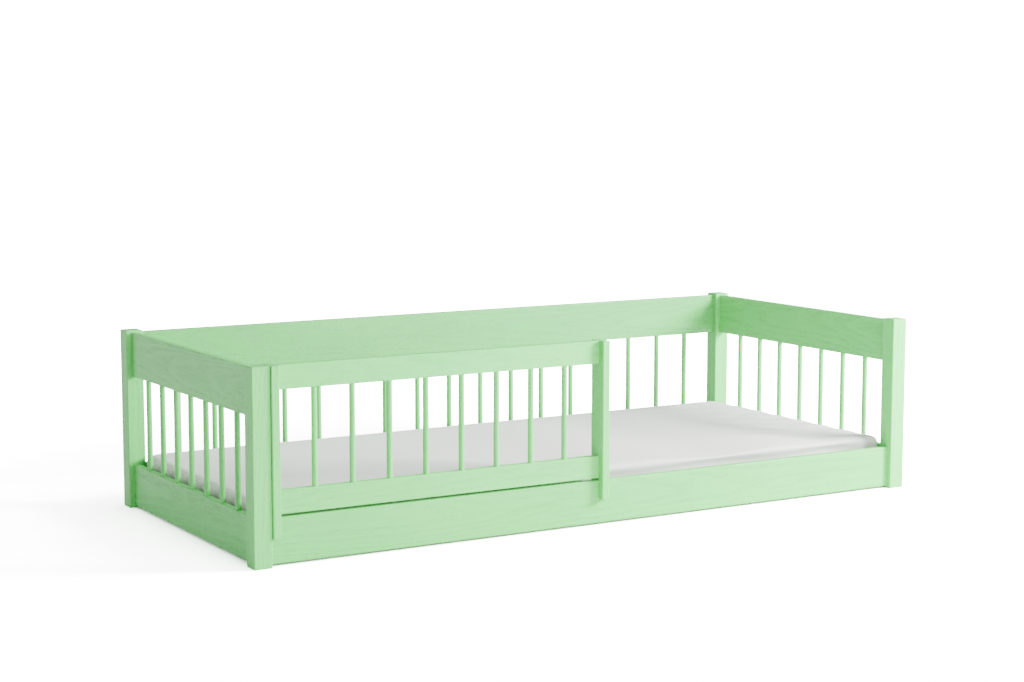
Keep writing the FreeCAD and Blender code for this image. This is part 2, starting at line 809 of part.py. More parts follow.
def mattress_solid():
    """Sections from end to end: close together round the corners, far apart between them."""
    length = number(cell("mattress_length"))
    corner_radius = number(cell("mattress_corner_radius"))
    waist = number(cell("mattress_waist"))
    corner_steps = [0.0, 0.08, 0.3, 0.62, 1.0]
    near_end = [(corner_radius * step, 0.0) for step in corner_steps]
    inland = [(length * share, waist * math.sin(math.pi * share)) for share in (0.12, 0.27, 0.5)]
    left_half = near_end + inland
    sections = [mattress_section(distance - length / 2, distance, draw) for distance, draw in left_half]
    sections += [
        mattress_section(length / 2 - distance, distance, draw) for distance, draw in left_half[-2::-1]
    ]
    return Part.makeLoft(sections, True, True)


mattress = document.addObject("Part::Feature", "mattress")
mattress.Label = "mattress"
mattress.Shape = mattress_solid()
place(mattress, "0", f"{guard_leg_inset} / 2", f"{slat_top} + sizes.rest_gap")
sub_parts.append(mattress)

# ---------------------------------------------------------------- check and write

document.recompute()
for item in document.Objects:
    if "Invalid" in item.State or "Error" in item.State:
        raise RuntimeError(f"{item.Label} failed: {item.State}")

os.makedirs("parts", exist_ok=True)
for item in sub_parts:
    shape = item.Shape
    if shape.isNull() or not shape.isValid():
        raise RuntimeError(f"{item.Label} has no valid shape")
    shape.exportStep(f"parts/{item.Label}.step")
    print(f"{item.Label}: {len(shape.Solids)} solid(s), {shape.Volume / 1000:.1f} cm3")
print(f"{len(sub_parts)} sub-parts")
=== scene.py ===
import math

import bmesh
import bpy
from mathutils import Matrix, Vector, noise


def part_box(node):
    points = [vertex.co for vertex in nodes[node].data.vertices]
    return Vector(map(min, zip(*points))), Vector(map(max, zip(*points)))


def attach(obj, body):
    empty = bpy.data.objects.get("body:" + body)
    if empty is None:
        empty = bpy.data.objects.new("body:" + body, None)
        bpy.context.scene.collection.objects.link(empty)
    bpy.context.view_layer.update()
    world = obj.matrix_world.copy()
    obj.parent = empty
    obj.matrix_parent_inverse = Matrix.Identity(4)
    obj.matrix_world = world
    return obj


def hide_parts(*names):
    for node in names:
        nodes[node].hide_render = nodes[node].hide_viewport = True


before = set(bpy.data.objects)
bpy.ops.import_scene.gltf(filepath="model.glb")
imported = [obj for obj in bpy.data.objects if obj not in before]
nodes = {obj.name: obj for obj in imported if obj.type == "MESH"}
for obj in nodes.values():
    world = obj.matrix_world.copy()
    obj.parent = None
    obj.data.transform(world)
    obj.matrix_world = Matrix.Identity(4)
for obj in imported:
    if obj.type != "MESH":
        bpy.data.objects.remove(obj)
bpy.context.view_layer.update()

print("frame loaded:", len(nodes), "nodes")

cameraSetup = {
    "place": (-2.8401, -4.73935, 1.1174),
    "yaw": 30.634,  # degrees from +Y towards +X
    "pitch": 7.085,  # degrees below the horizon
    "lens": 71.7,
    "sensor": 36.0,
    "farthest": 100.0,
}

cameraData = bpy.data.cameras.new("photoCamera")
cameraData.lens = cameraSetup["lens"]
cameraData.sensor_width = cameraSetup["sensor"]
cameraData.clip_end = cameraSetup["farthest"]
camera = bpy.data.objects.new("photoCamera", cameraData)
camera.location = cameraSetup["place"]
camera.rotation_euler = (
    math.radians(90.0 - cameraSetup["pitch"]),
    0.0,
    math.radians(-cameraSetup["yaw"]),
)
bpy.context.scene.collection.objects.link(camera)
bpy.context.scene.camera = camera

lightSetup = {
    "worldStrength": 0.50,
    "backdropStrength": 18.0,  # what the camera sees behind the bed
    "key": {"place": (2.6, -1.9, 1.6), "target": (0.2, 0.0, 0.2), "size": 1.2, "power": 712.0},
    "overhead": {"place": (0.3, 0.3, 3.3), "target": (0.3, 0.1, 0.0), "size": 2.4, "power": 90.0},
    "front": {"place": (-0.6, -5.0, 1.8), "target": (0.2, 0.0, 0.2), "size": 3.0, "power": 300.0},
    "leftPanel": {"place": (-3.4, 3.4, 0.9), "target": (-0.6, 0.0, 0.2), "size": 2.2, "power": 80.0},
}


def addAreaLight(name, settings):
    lampData = bpy.data.lights.new(name, "AREA")
    lampData.shape = "SQUARE"
    lampData.size = settings["size"]
    lampData.energy = settings["power"]
    lamp = bpy.data.objects.new(name, lampData)
    lamp.location = settings["place"]
    aim = Vector(settings["target"]) - Vector(settings["place"])
    lamp.rotation_euler = aim.to_track_quat("-Z", "Y").to_euler()
    bpy.context.scene.collection.objects.link(lamp)


def newMaterial(name):
    material = bpy.data.materials.new(name)
    material.use_nodes = True
    return material, material.node_tree


def addNode(tree, kind, inputs=None, **settings):
    node = tree.nodes.new(kind)
    for key, value in settings.items():
        setattr(node, key, value)
    for key, value in (inputs or {}).items():
        socket = node.inputs[key]
        if isinstance(value, bpy.types.NodeSocket):
            tree.links.new(value, socket)
        else:
            socket.default_value = value
    return node


def calculate(tree, operation, a, b=0.0, c=0.0):
    node = addNode(tree, "ShaderNodeMath", {0: a, 1: b, 2: c}, operation=operation)
    return node.outputs[0]


def spread(tree, value, low, high, newLow=0.0, newHigh=1.0, shape="SMOOTHSTEP"):
    node = addNode(
        tree,
        "ShaderNodeMapRange",
        {"Value": value, "From Min": low, "From Max": high, "To Min": newLow, "To Max": newHigh},
        interpolation_type=shape,
    )
    return node.outputs["Result"]


def stretched(tree, vector, scale):
    node = addNode(tree, "ShaderNodeVectorMath", {0: vector, 1: scale}, operation="MULTIPLY")
    return node.outputs["Vector"]


def noiseOver(tree, place, scale, detail, roughness):
    # the scale has a value for each axis, so the node's own is one
    spot = stretched(tree, place, scale)
    inputs = {"Vector": spot, "Scale": 1.0, "Detail": detail, "Roughness": roughness}
    return addNode(tree, "ShaderNodeTexNoise", inputs).outputs


def mixColours(tree, share, a, b):
    node = addNode(tree, "ShaderNodeMix", data_type="RGBA")
    for index, value in ((0, share), (6, a), (7, b)):
        socket = node.inputs[index]
        if isinstance(value, bpy.types.NodeSocket):
            tree.links.new(value, socket)
        elif index == 0:
            socket.default_value = value
        else:
            socket.default_value = (*value, 1.0)
    return node.outputs[2]


def bumped(tree, height, look):
    inputs = {"Height": height, "Strength": look["reliefStrength"], "Distance": look["reliefDepth"]}
    return addNode(tree, "ShaderNodeBump", inputs).outputs["Normal"]


def dress(tree, look, shade, relief, uneven):
    # a material's colour, relief and roughness from the patterns made for it
    shader = tree.nodes["Principled BSDF"]
    share = spread(tree, shade, *look["shadeRange"])
    colour = mixColours(tree, share, look["dark"], look["light"])
    least = look["roughness"] - look["roughnessDrop"]
    roughness = calculate(tree, "MULTIPLY_ADD", uneven, look["roughnessSpread"], least)
    tree.links.new(colour, shader.inputs["Base Color"])
    tree.links.new(bumped(tree, relief, look), shader.inputs["Normal"])
    tree.links.new(roughness, shader.inputs["Roughness"])
    return shader


def makeStudioWorld():
    world = bpy.data.worlds.new("paleStudio")
    world.use_nodes = True
    tree = world.node_tree
    seen = addNode(tree, "ShaderNodeLightPath").outputs["Is Camera Ray"]
    strength = spread(
        tree, seen, 0.0, 1.0, lightSetup["worldStrength"], lightSetup["backdropStrength"], "LINEAR"
    )
    backdrop = tree.nodes["Background"]
    backdrop.inputs["Color"].default_value = (1.0, 1.0, 1.0, 1.0)
    tree.links.new(strength, backdrop.inputs["Strength"])
    bpy.context.scene.world = world


floorSetup = {
    "size": 60.0,
    "shade": 0.90,
    "seenShade": 6.5,  # the photograph's floor is burnt out to white
    "paintedShadowUnder": 1.1,  # but lower where the bed stands: painted shadow under the bed and in the dark line under its rails
    "footprint": (0.970, 0.418),  # half the length and depth that the bed covers, where the painted shadow lies
    "edgeBlur": 0.02,
    # painted light: the floor glows to the camera only, not near the bed
    "glowNear": 0.0,
    "glowFar": 18.0,
    "fade": (0.95, 3.2),  # metres from the middle of the bed over which the painted glow grows
}


def makeFloor():
    form = bmesh.new()
    bmesh.ops.create_grid(form, x_segments=1, y_segments=1, size=floorSetup["size"] / 2)
    mesh = bpy.data.meshes.new("paleFloor")
    form.to_mesh(mesh)
    form.free()
    floor = bpy.data.objects.new("paleFloor", mesh)
    bpy.context.scene.collection.objects.link(floor)
    material, tree = newMaterial("paleFloor")
    tree.nodes.remove(tree.nodes["Principled BSDF"])
    seen = addNode(tree, "ShaderNodeLightPath").outputs["Is Camera Ray"]
    place = addNode(tree, "ShaderNodeTexCoord").outputs["Object"]
    axes = addNode(tree, "ShaderNodeSeparateXYZ", {"Vector": place})
    halfLength, halfDepth = floorSetup["footprint"]
    aside = calculate(tree, "SUBTRACT", calculate(tree, "ABSOLUTE", axes.outputs["X"]), halfLength)
    ahead = calculate(tree, "SUBTRACT", calculate(tree, "ABSOLUTE", axes.outputs["Y"]), halfDepth)
    edge = calculate(tree, "MAXIMUM", aside, ahead)
    # painted shadow: to the camera the floor is darker inside the bed's footprint
    blur = floorSetup["edgeBlur"]
    seenShade = spread(tree, edge, -blur, blur, floorSetup["paintedShadowUnder"], floorSetup["seenShade"])
    shade = spread(tree, seen, 0.0, 1.0, floorSetup["shade"], seenShade, "LINEAR")
    matt = addNode(tree, "ShaderNodeBsdfDiffuse", {"Color": shade}).outputs["BSDF"]
    # painted light: to the camera the floor glows, more the further it lies from the bed, so it stays
    # darker near the bed
    away = addNode(tree, "ShaderNodeVectorMath", {0: place}, operation="LENGTH").outputs["Value"]
    near, far = floorSetup["fade"]
    glow = spread(tree, away, near, far, floorSetup["glowNear"], floorSetup["glowFar"])
    glow = calculate(tree, "MULTIPLY", glow, seen)
    light = addNode(tree, "ShaderNodeEmission", {"Strength": glow}).outputs["Emission"]
    both = addNode(tree, "ShaderNodeAddShader", {0: matt, 1: light}).outputs["Shader"]
    tree.links.new(both, tree.nodes["Material Output"].inputs["Surface"])
    floor.data.materials.append(material)


makeStudioWorld()
makeFloor()
for lightName in ("key", "overhead", "front", "leftPanel"):
    addAreaLight(lightName + "Light", lightSetup[lightName])
print("studio set up")

stainedLook = {
    "light": (0.100, 0.560, 0.117),
    "dark": (0.070, 0.415, 0.083),
    "pore": (0.050, 0.300, 0.062),
    "roughness": 0.37,
    "ringSpacing": 0.0074,
    "ringShare": 0.46,
    "streakShare": 0.14,
    "poreShare": 0.60,
}
bareLook = {
    "light": (0.690, 0.510, 0.320),
    "dark": (0.520, 0.340, 0.180),
    "pore": (0.360, 0.220, 0.110),
    "roughness": 0.62,
    "ringSpacing": 0.0055,
    "ringShare": 0.60,
    "streakShare": 0.35,
    "poreShare": 0.25,
}
grainPlan = {
    # noise: its scales, along the grain first and then across it, its detail and its roughness
    "sway": ((1.6, 7.0, 7.0), 2.0, 0.45),
    "streaks": ((5.0, 330.0, 330.0), 3.0, 0.6),
    "dashes": ((55.0, 1500.0, 1500.0), 1.0, 0.4),
    "clouds": ((2.2, 9.0, 9.0), 2.0, 0.5),
    "breaks": ((16.0, 110.0, 110.0), 2.0, 0.55),  # they cut the ring lines into short strokes
    # masks: the two values between which one runs, and its share at each where that isn't 0 and 1
    "opening": (0.0, 0.16),  # in each ring, where its open wood begins
    "closing": (0.22, 0.95, 1.0, 0.0),  # and where it ends
    "streakMask": (0.35, 0.70),
    "dashMask": (0.56, 0.66),
    "cloudMask": (0.30, 0.70),
    "strokeMask": (0.42, 0.60, 0.12, 1.0),
    "ringMask": (0.25, 0.65, 0.35, 1.0),
    "swayReach": (0.0, 0.050, 0.050),  # metres by which the ring lines wander
    "latePores": 0.15,  # share of the pores that lie outside the open wood
    "cloudShare": 0.25,
    "poreRoughness": 0.25,
    "streakRoughness": 0.06,
    "strokeRelief": -0.8,  # against a pore's depth
    "streakRelief": -0.12,
    "reliefStrength": 0.55,
    "reliefDepth": 0.00022,
    "gloss": 0.28,
}
grainTurns = {
    "X": (0.0, 0.0, 0.0),
    "Y": (0.0, 0.0, math.radians(90.0)),
    "Z": (0.0, math.radians(-90.0), 0.0),
}


def makeWood(name, look, grain, centre, pith, tilt, toneAndShade=1.0):
    # growth rings round a pith line beside the board, then fibres and open pores along the grain
    plan = grainPlan
    material, tree = newMaterial(name)
    shader = tree.nodes["Principled BSDF"]
    coordinates = addNode(tree, "ShaderNodeTexCoord").outputs["Object"]
    turn = [math.radians(t) + g for t, g in zip(tilt, grainTurns[grain])]
    board = addNode(
        tree,
        "ShaderNodeMapping",
        {"Vector": coordinates, "Location": Vector(centre) + Vector(pith), "Rotation": turn},
        vector_type="TEXTURE",
    ).outputs["Vector"]

    sway = noiseOver(tree, board, *plan["sway"])["Color"]
    centred = addNode(
        tree, "ShaderNodeVectorMath", {0: sway, 1: (0.5, 0.5, 0.5)}, operation="SUBTRACT"
    ).outputs["Vector"]
    swayed = addNode(
        tree,
        "ShaderNodeVectorMath",
        {0: centred, 1: plan["swayReach"], 2: board},
        operation="MULTIPLY_ADD",
    ).outputs["Vector"]
    parts = addNode(tree, "ShaderNodeSeparateXYZ", {"Vector": swayed})
    across = calculate(tree, "MULTIPLY", parts.outputs["Y"], parts.outputs["Y"])
    radius = calculate(
        tree, "SQRT", calculate(tree, "MULTIPLY_ADD", parts.outputs["Z"], parts.outputs["Z"], across)
    )
    year = calculate(tree, "FRACT", calculate(tree, "DIVIDE", radius, look["ringSpacing"]))
    opening = spread(tree, year, *plan["opening"])
    closing = spread(tree, year, *plan["closing"])
    earlyWood = calculate(tree, "MULTIPLY", opening, closing)

    streaks = noiseOver(tree, board, *plan["streaks"])["Fac"]
    streakMask = spread(tree, streaks, *plan["streakMask"])
    dashes = noiseOver(tree, board, *plan["dashes"])["Fac"]
    dashMask = spread(tree, dashes, *plan["dashMask"])
    latePores = plan["latePores"]
    pores = calculate(tree, "MULTIPLY_ADD", earlyWood, 1.0 - latePores, latePores)
    pores = calculate(tree, "MULTIPLY", dashMask, pores)
    clouds = noiseOver(tree, board, *plan["clouds"])["Fac"]
    cloudMask = spread(tree, clouds, *plan["cloudMask"])

    breaks = noiseOver(tree, board, *plan["breaks"])["Fac"]
    strokes = spread(tree, breaks, *plan["strokeMask"])
    strokes = calculate(tree, "MULTIPLY", strokes, earlyWood)
    ringAmount = calculate(tree, "MULTIPLY", strokes, look["ringShare"])
    ringAmount = calculate(tree, "MULTIPLY", ringAmount, spread(tree, clouds, *plan["ringMask"]))
    streakAmount = calculate(tree, "MULTIPLY", streakMask, look["streakShare"])
    figure = calculate(tree, "ADD", ringAmount, streakAmount)
    figure = calculate(tree, "MINIMUM", figure, 1.0)
    # a board's tone darkens its colours, in part as painted shade
    light, dark, pore = (tuple(c * toneAndShade for c in look[key]) for key in ("light", "dark", "pore"))
    colour = mixColours(tree, figure, light, dark)
    colour = mixColours(tree, calculate(tree, "MULTIPLY", pores, look["poreShare"]), colour, pore)
    colour = mixColours(tree, calculate(tree, "MULTIPLY", cloudMask, plan["cloudShare"]), colour, dark)
    tree.links.new(colour, shader.inputs["Base Color"])

    roughness = calculate(tree, "MULTIPLY_ADD", pores, plan["poreRoughness"], look["roughness"])
    roughness = calculate(tree, "MULTIPLY_ADD", streakMask, plan["streakRoughness"], roughness)
    tree.links.new(roughness, shader.inputs["Roughness"])
    relief = calculate(tree, "MULTIPLY", pores, -1.0)
    relief = calculate(tree, "MULTIPLY_ADD", strokes, plan["strokeRelief"], relief)
    relief = calculate(tree, "MULTIPLY_ADD", streakMask, plan["streakRelief"], relief)
    tree.links.new(bumped(tree, relief, plan), shader.inputs["Normal"])
    shader.inputs["Specular IOR Level"].default_value = plan["gloss"]
    return material


def setMaterial(piece, material):
    if piece.data.materials:
        for index in range(len(piece.data.materials)):
            piece.data.materials[index] = material
    else:
        piece.data.materials.append(material)


def middleOf(node):
    low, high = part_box(node)
    return (low + high) / 2


# grain direction, pith line from the board's centre in metres, its lean in degrees, and the board's
# tone, partly painted shade
boardPlans = {
    "front_rail": ("X", (0.15, 0.085, 0.012), (0.0, 0.9, 1.5), 0.90),
    "back_low_rail": ("X", (-0.20, 0.080, -0.010), (0.0, -0.8, 1.2), 0.9),
    # painted shade: the back top rail is darkened for the less light that reaches it
    "back_top_rail": ("X", (0.25, 0.070, 0.006), (0.0, 0.7, -1.7), 0.70),
    "guard_low_rail": ("X", (0.10, 0.095, 0.020), (0.0, 1.1, 1.4), 0.97),
    "guard_top_rail": ("X", (-0.12, 0.075, -0.004), (0.0, -1.2, 2.2), 1.0),
    "left_end_low_rail": ("Y", (0.090, 0.05, 0.015), (0.0, 1.2, 1.8), 1.0),
    "left_end_top_rail": ("Y", (0.080, -0.04, -0.008), (0.0, -1.0, -2.0), 1.0),
    "right_end_low_rail": ("Y", (0.085, 0.08, 0.004), (0.0, 0.9, 1.6), 1.0),
    "right_end_top_rail": ("Y", (0.075, 0.03, 0.010), (0.0, 1.4, -1.9), 1.0),
    "front_left_post": ("Z", (0.060, 0.050, 0.0), (1.2, 1.6, 0.0), 0.97),
    "front_right_post": ("Z", (-0.055, 0.062, 0.1), (-1.4, 1.2, 0.0), 1.0),
    "back_right_post": ("Z", (0.070, 0.040, -0.1), (1.0, -1.5, 0.0), 0.95),
    "back_left_post": ("Z", (-0.048, 0.066, 0.05), (1.5, 1.1, 0.0), 1.0),
    "guard_left_upright": ("Z", (0.052, 0.070, 0.0), (1.3, -1.2, 0.0), 1.0),
    "guard_right_upright": ("Z", (-0.060, 0.058, 0.08), (-1.1, 1.5, 0.0), 1.0),
}
for nodeName, (grain, pith, tilt, toneAndShade) in boardPlans.items():
    wood = makeWood("stained_" + nodeName, stainedLook, grain, middleOf(nodeName), pith, tilt, toneAndShade)
    setMaterial(nodes[nodeName], wood)

# pieces of a kind share one block of wood: look, grain, block's centre, pith line and its lean
sharedPlans = {
    "stained_spindles": (stainedLook, "Z", (0.0, 0.0, 0.24), (0.4, 0.9, 0.0), (0.8, 0.6, 0.0)),
    "bare_slats": (bareLook, "Y", (0.0, 0.0, 0.04), (0.5, 0.0, -0.35), (0.0, 0.6, 0.8)),
    "bare_ledgers": (bareLook, "X", (0.0, 0.0, 0.03), (0.0, 0.6, -0.4), (0.0, 0.5, 0.5)),
}
spindleWood, slatWood, ledgerWood = (makeWood(name, *plan) for name, plan in sharedPlans.items())
for nodeName, node in nodes.items():
    if "spindle" in nodeName:
        setMaterial(node, spindleWood)
    elif nodeName.endswith("ledger"):
        setMaterial(node, ledgerWood)
    elif nodeName.startswith("slat_") and nodeName != "slat_webbing":
        setMaterial(node, slatWood)
print("wood finished")

webbingLook = {
    "light": (0.62, 0.60, 0.54),
    "dark": (0.40, 0.38, 0.33),
    "rib": 0.0022,  # metres between weft ribs
    "warp": 0.0011,  # and between warp threads
    "fuzz": ((900.0, 900.0, 900.0), 2.0, 0.6),
    "fuzzShare": 0.35,
    "shadeRange": (0.0, 1.0),
    "roughness": 0.85,
    "roughnessSpread": 0.12,  # added where the pattern is fullest
    "roughnessDrop": 0.06,  # taken off everywhere
    "reliefStrength": 0.8,
    "reliefDepth": 0.0004,
    "gloss": 0.25,
}


def waves(tree, value, wavelength):
    turned = calculate(tree, "MULTIPLY", value, 2.0 * math.pi / wavelength)
    return calculate(tree, "MULTIPLY_ADD", calculate(tree, "SINE", turned), 0.5, 0.5)


def makeWebbing():
    material, tree = newMaterial("wovenWebbing")
    place = addNode(tree, "ShaderNodeTexCoord").outputs["Object"]
    axes = addNode(tree, "ShaderNodeSeparateXYZ", {"Vector": place})
    ribs = waves(tree, axes.outputs["X"], webbingLook["rib"])
    threads = waves(tree, axes.outputs["Y"], webbingLook["warp"])
    weave = calculate(tree, "MULTIPLY", ribs, threads)
    fuzz = noiseOver(tree, place, *webbingLook["fuzz"])["Fac"]
    shade = calculate(tree, "MULTIPLY_ADD", fuzz, webbingLook["fuzzShare"], weave)
    shader = dress(tree, webbingLook, shade, shade, fuzz)
    shader.inputs["Specular IOR Level"].default_value = webbingLook["gloss"]
    return material


steelLook = {
    "light": (0.66, 0.67, 0.69),
    "dark": (0.50, 0.51, 0.53),
    "brushing": ((2500.0, 2500.0, 90.0), 3.0, 0.6),
    "clouds": ((70.0, 70.0, 70.0), 3.0, 0.6),
    "shadeRange": (0.3, 0.7),
    "roughness": 0.34,
    "roughnessSpread": 0.25,
    "roughnessDrop": 0.12,
    "reliefStrength": 0.25,
    "reliefDepth": 0.00005,
}


def makeSteel():
    material, tree = newMaterial("zincPlatedSteel")
    place = addNode(tree, "ShaderNodeTexCoord").outputs["Object"]
    brushing = noiseOver(tree, place, *steelLook["brushing"])["Fac"]
    clouds = noiseOver(tree, place, *steelLook["clouds"])["Fac"]
    shade = calculate(tree, "MULTIPLY_ADD", brushing, 0.5, calculate(tree, "MULTIPLY", clouds, 0.5))
    shader = dress(tree, steelLook, shade, brushing, shade)
    shader.inputs["Metallic"].default_value = 1.0
    return material


setMaterial(nodes["slat_webbing"], makeWebbing())
steel = makeSteel()
for nodeName in ("hook_plates", "catch_plates"):
    setMaterial(nodes[nodeName], steel)
print("webbing and steel finished")

mattressPlan = {
    "edgeHeight": 0.1053,  # before the last smoothing, which takes 3 mm; the solid's edge is lower
    "edgeRadius": 0.028,
    "baseRadius": 0.010,
    "cornerFront": 0.014,
    "cornerBack": 0.046,  # rounder, because the back posts stand close
    "crown": 0.0035,
    "crownRun": 0.18,  # how far in from an end the crown is full
    "voxel": 0.012,
    "slack": 0.003,  # the start is this much smaller, because the padding swells
    "pressure": 4.0,
    "clothMass": 0.3,
    "stretchStiffness": 15.0,
    "bendStiffness": 0.5,
    "clothQuality": 4,
    "frames": 20,
    "cap": 0.004,  # the furthest that a point may move under pressure
    "stillBase": 0.020,  # the lowest part keeps its shape
    "fullBelow": 0.030,  # the shaping is full from this far below the edge's height
    # a pattern is how often its noise varies along X and along Y, and which layer of it
    "swellHeight": 0.0060,  # broad soft forms of the top
    "swellStep": 0.46,
    "swellMiddle": 0.56,  # where along X one of them is highest, at the bed's middle line
    "swellSkew": 0.10,
    "swellWander": 0.10,
    "swellPattern": (1.3, 2.2, 1.7),
    "swellSink": 0.35,  # share of their height by which they are set lower
    "swellLeast": 0.35,  # share of their height that the left half keeps
    "swellStart": -0.25,  # where along X they begin to grow, and over what run
    "swellRun": 0.5,
    "fineHeight": 0.0022,
    "finePattern": (3.1, 4.3, 5.4),
    "sideFade": 0.20,  # how far in from a side these forms are full
    "ridgeHeight": 0.0040,  # ridges that the cover's pull draws at the right end
    "ridgeStep": 0.102,
    "ridgeStart": 0.44,  # where along X the ridges begin to show
    "ridgeRun": 0.50,
    "ridgeMiddle": 0.047,
    "ridgeSlope": 0.08,
    "ridgeBend": 0.012,
    "bendPattern": (2.6, 6.0, 8.1),
    "ridgeSink": 0.5,
    "ridgeStrength": 0.75,  # the mean, and how far it varies from ridge to ridge
    "ridgeUneven": 0.5,
    "ridgePattern": (1.5, 9.0, 3.3),
    "ridgeLeast": 0.35,  # share of their height at the very end
    "ridgeFade": 0.10,
    "valleyDepth": 0.0035,  # the furrow behind the front roll
    "valleyWidth": 0.048,
    "valleyPlace": (0.354, -0.293),  # a point on its line
    "valleySlope": 0.22,
    "valleyStart": 0.15,
    "valleyStartFade": 0.25,
    "valleyEnd": 0.93,
    "valleyEndFade": 0.10,
    "underPull": 0.014,  # how far the long sides draw in below the roll
    "underStart": 0.137,  # height above the floor where that begins
    "underRun": 0.026,
    "proud": 0.013,  # the most that padding may stand above its solid
}
coverLook = {
    "light": (0.515, 0.530, 0.492),
    "dark": (0.445, 0.458, 0.422),
    "thread": 0.0009,  # metres between threads
    "wander": ((40.0, 40.0, 40.0), 2.0, 0.5),
    "drift": 0.0012,  # metres by which the threads stray
    "slubs": ((60.0, 900.0, 900.0), 2.0, 0.6),
    "shadeRange": (0.15, 0.65),
    "roughness": 0.90,
    "roughnessSpread": 0.10,
    "roughnessDrop": 0.05,
    "reliefStrength": 0.35,
    "reliefDepth": 0.0003,
    "gloss": 0.18,
    "sheen": 0.22,
    "sheenRoughness": 0.45,
}


def makeCover():
    material, tree = newMaterial("mattressCover")
    place = addNode(tree, "ShaderNodeTexCoord").outputs["Object"]
    wander = noiseOver(tree, place, *coverLook["wander"])["Fac"]
    drift = calculate(tree, "MULTIPLY", wander, coverLook["drift"])
    axes = addNode(tree, "ShaderNodeSeparateXYZ", {"Vector": place})
    along = waves(tree, calculate(tree, "ADD", axes.outputs["X"], drift), coverLook["thread"])
    side = calculate(tree, "ADD", axes.outputs["Y"], axes.outputs["Z"])
    across = waves(tree, calculate(tree, "ADD", side, drift), coverLook["thread"])
    weave = calculate(tree, "MULTIPLY", along, across)
    slubs = noiseOver(tree, place, *coverLook["slubs"])["Fac"]
    shade = calculate(tree, "MULTIPLY_ADD", slubs, 0.5, calculate(tree, "MULTIPLY", weave, 0.5))
    shader = dress(tree, coverLook, shade, shade, slubs)
    shader.inputs["Specular IOR Level"].default_value = coverLook["gloss"]
    shader.inputs["Sheen Weight"].default_value = coverLook["sheen"]
    shader.inputs["Sheen Roughness"].default_value = coverLook["sheenRoughness"]
    return material


def eased(value):
    value = max(0.0, min(1.0, value))
    return value * value * (3.0 - 2.0 * value)


def rimEdges(form, height):
    return [e for e in form.edges if all(abs(v.co.z - height) < 1e-5 for v in e.verts)]


def rounded(form, edges, radius, segments):
    bmesh.ops.bevel(
        form,
        geom=edges,
        offset=radius,
        segments=segments,
        profile=0.5,
        affect="EDGES",
        material=-1,
        clamp_overlap=True,
    )


def startForm(low, high):
    # a block with rounded corners and rims, cut into even faces
    plan = mattressPlan
    slack = plan["slack"]
    top = low.z + plan["edgeHeight"] - slack
    base = low.z + slack
    form = bmesh.new()
    bmesh.ops.create_cube(form, size=1.0)
    size = Vector((high.x - low.x - 2 * slack, high.y - low.y - 2 * slack, top - base))
    bmesh.ops.scale(form, vec=size, verts=form.verts)
    middle = Vector(((low.x + high.x) / 2, (low.y + high.y) / 2, (top + base) / 2))
    bmesh.ops.translate(form, vec=middle, verts=form.verts)
    corners = [e for e in form.edges if abs(e.verts[0].co.z - e.verts[1].co.z) > size.z / 2]
    frontCorners = [e for e in corners if e.verts[0].co.y < middle.y]
    backCorners = [e for e in corners if e.verts[0].co.y > middle.y]
    rounded(form, frontCorners, plan["cornerFront"], 5)
    rounded(form, backCorners, plan["cornerBack"], 6)
    rounded(form, rimEdges(form, top), plan["edgeRadius"], 5)
    rounded(form, rimEdges(form, base), plan["baseRadius"], 3)
    mesh = bpy.data.meshes.new("mattressForm")
    form.to_mesh(mesh)
    form.free()
    helper = bpy.data.objects.new("mattressHelper", mesh)
    bpy.context.scene.collection.objects.link(helper)
    voxels = helper.modifiers.new("voxels", "REMESH")
    voxels.mode = "VOXEL"
    voxels.voxel_size = plan["voxel"]
    graph = bpy.context.evaluated_depsgraph_get()
    result = bpy.data.meshes.new_from_object(helper.evaluated_get(graph))
    bpy.data.objects.remove(helper)
    return result


def swell(piece):
    # the cover under pressure, with each point's move held to the cap
    plan = mattressPlan
    before = [v.co.copy() for v in piece.data.vertices]
    cloth = piece.modifiers.new("cloth", "CLOTH")
    cloth.settings.use_pressure = True
    cloth.settings.uniform_pressure_force = plan["pressure"]
    cloth.settings.effector_weights.gravity = 0.0
    cloth.settings.mass = plan["clothMass"]
    cloth.settings.tension_stiffness = plan["stretchStiffness"]
    cloth.settings.compression_stiffness = plan["stretchStiffness"]
    cloth.settings.bending_stiffness = plan["bendStiffness"]
    cloth.settings.quality = plan["clothQuality"]
    cloth.point_cache.frame_start = 1
    cloth.point_cache.frame_end = plan["frames"]
    scene = bpy.context.scene
    for frameNumber in range(1, plan["frames"] + 1):
        scene.frame_set(frameNumber)
    graph = bpy.context.evaluated_depsgraph_get()
    moved = [v.co.copy() for v in piece.evaluated_get(graph).data.vertices]
    piece.modifiers.remove(cloth)
    scene.frame_set(1)
    for vertex, start, end in zip(piece.data.vertices, before, moved):
        step = end - start
        if step.length > plan["cap"]:
            step *= plan["cap"] / step.length
        vertex.co = start + step


def unevenness(place, pattern):
    alongX, alongY, layer = pattern
    return noise.noise(Vector((place.x * alongX, place.y * alongY, layer)))


def growing(least, value):
    return least + (1.0 - least) * eased(value)


